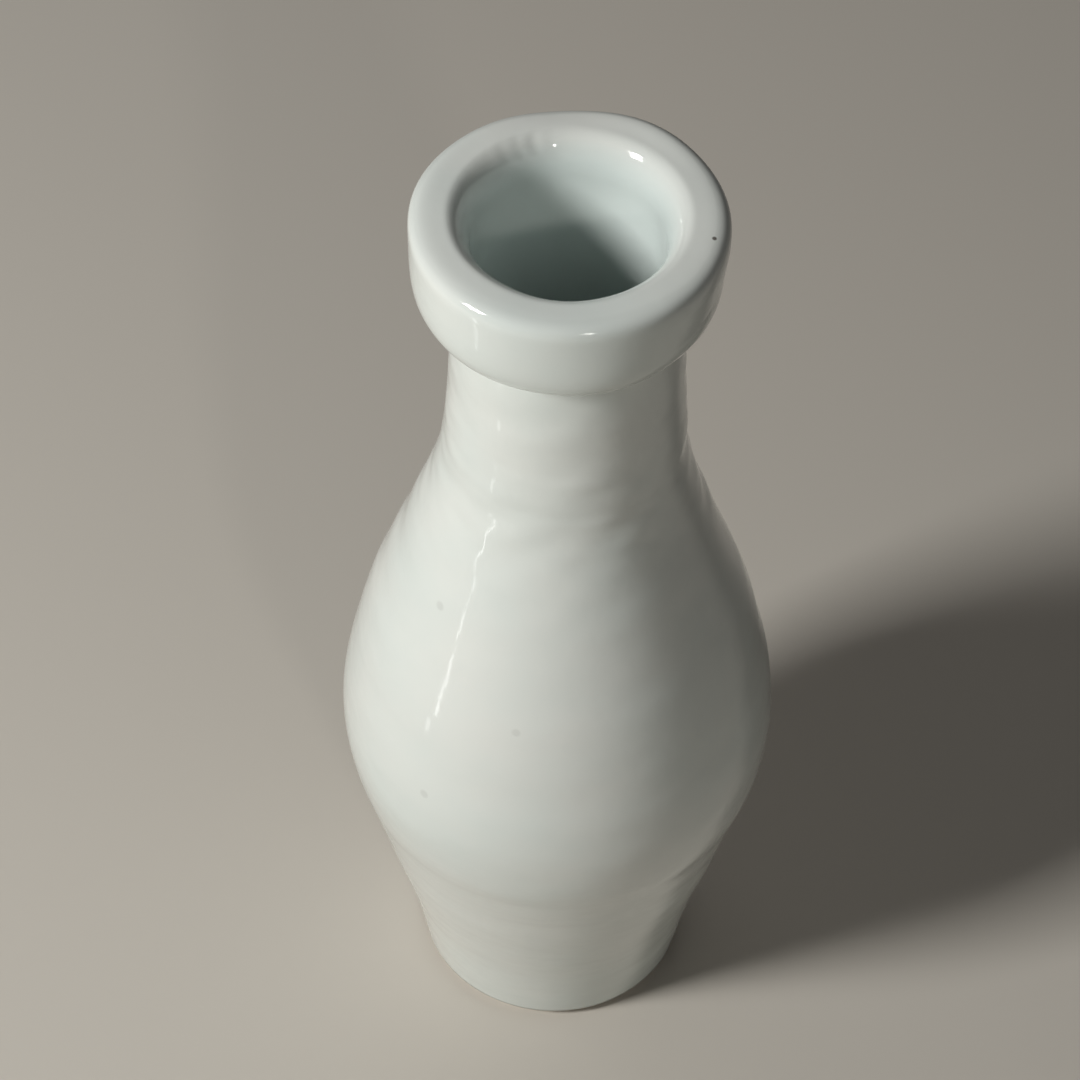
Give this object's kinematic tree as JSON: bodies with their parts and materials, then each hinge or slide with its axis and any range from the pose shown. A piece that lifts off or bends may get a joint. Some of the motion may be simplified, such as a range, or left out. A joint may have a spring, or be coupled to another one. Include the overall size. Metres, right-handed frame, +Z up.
{
  "type": "sake bottle",
  "caption": "Wheel-thrown porcelain sake bottle with a thick rolled lip, short neck, low full belly and narrow ring foot, under a clear pale glaze.",
  "frame": {"origin": "centre of the foot ring's contact face, on the turning axis", "axes": "+Z up along the turning axis from foot to lip; the bottle is turned, so +X and +Y are free choices"},
  "size_m": [0.074, 0.074, 0.1841],
  "materials": {
    "porcelain": "bare fired porcelain, matt and slightly sandy, seen only on the foot ring",
    "clear_glaze": "glossy clear glaze over white porcelain, pale bluish green where it pools"
  },
  "bodies": {
    "root": {"porcelain_body": "porcelain", "outer_glaze": "clear_glaze", "liner_glaze": "clear_glaze", "base_glaze": "clear_glaze"}
  },
  "joints": []
}
